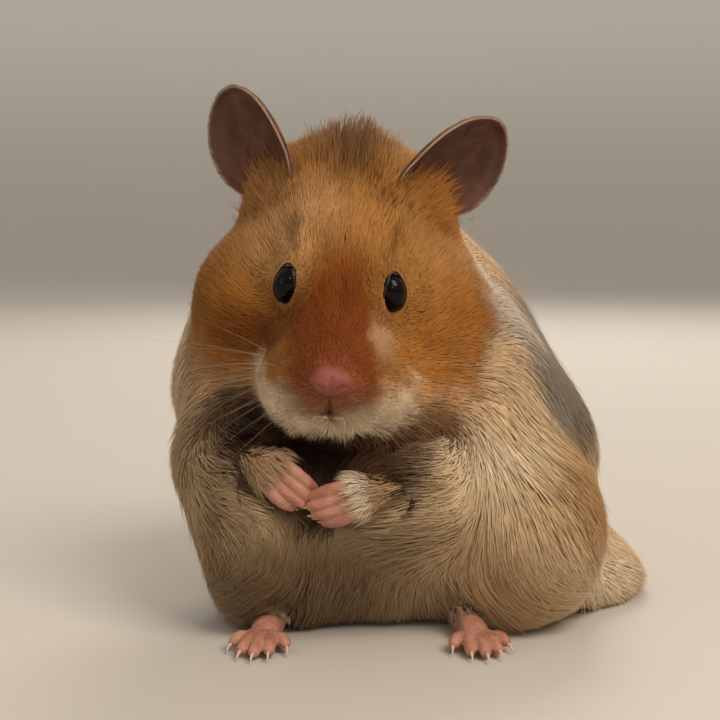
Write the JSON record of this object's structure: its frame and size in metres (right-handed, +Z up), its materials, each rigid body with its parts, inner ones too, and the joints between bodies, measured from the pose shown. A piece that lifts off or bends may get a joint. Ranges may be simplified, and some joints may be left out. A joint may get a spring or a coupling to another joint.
{
  "type": "syrian hamster",
  "caption": "Life-size Syrian hamster sitting up on its haunches with its forepaws held together, a still museum-style model.",
  "frame": {"origin": "on the floor, under the middle of the animal's bounding box", "axes": "+Z up, the animal faces -Y, +X towards its own left side"},
  "size_m": [0.0812, 0.085, 0.0855],
  "materials": {
    "coat_gold": "soft golden fur",
    "coat_cream": "soft cream fur",
    "ear_skin": "thin dark skin with fine down",
    "bare_skin": "soft pink skin",
    "eye": "wet gloss"
  },
  "bodies": {
    "root": {"head": "coat_gold", "lower_jaw": "coat_cream", "nose": "bare_skin", "neck": "coat_gold", "trunk": "coat_cream", "tail": "bare_skin", "eye_left": "eye", "eye_right": "eye", "ear_left": "ear_skin", "ear_right": "ear_skin", "foreleg_left": "coat_cream", "foreleg_right": "coat_cream", "forepaw_left": "bare_skin", "forepaw_right": "bare_skin", "hind_leg_left": "coat_cream", "hind_leg_right": "coat_cream", "hind_foot_left": "bare_skin", "hind_foot_right": "bare_skin"}
  },
  "joints": []
}
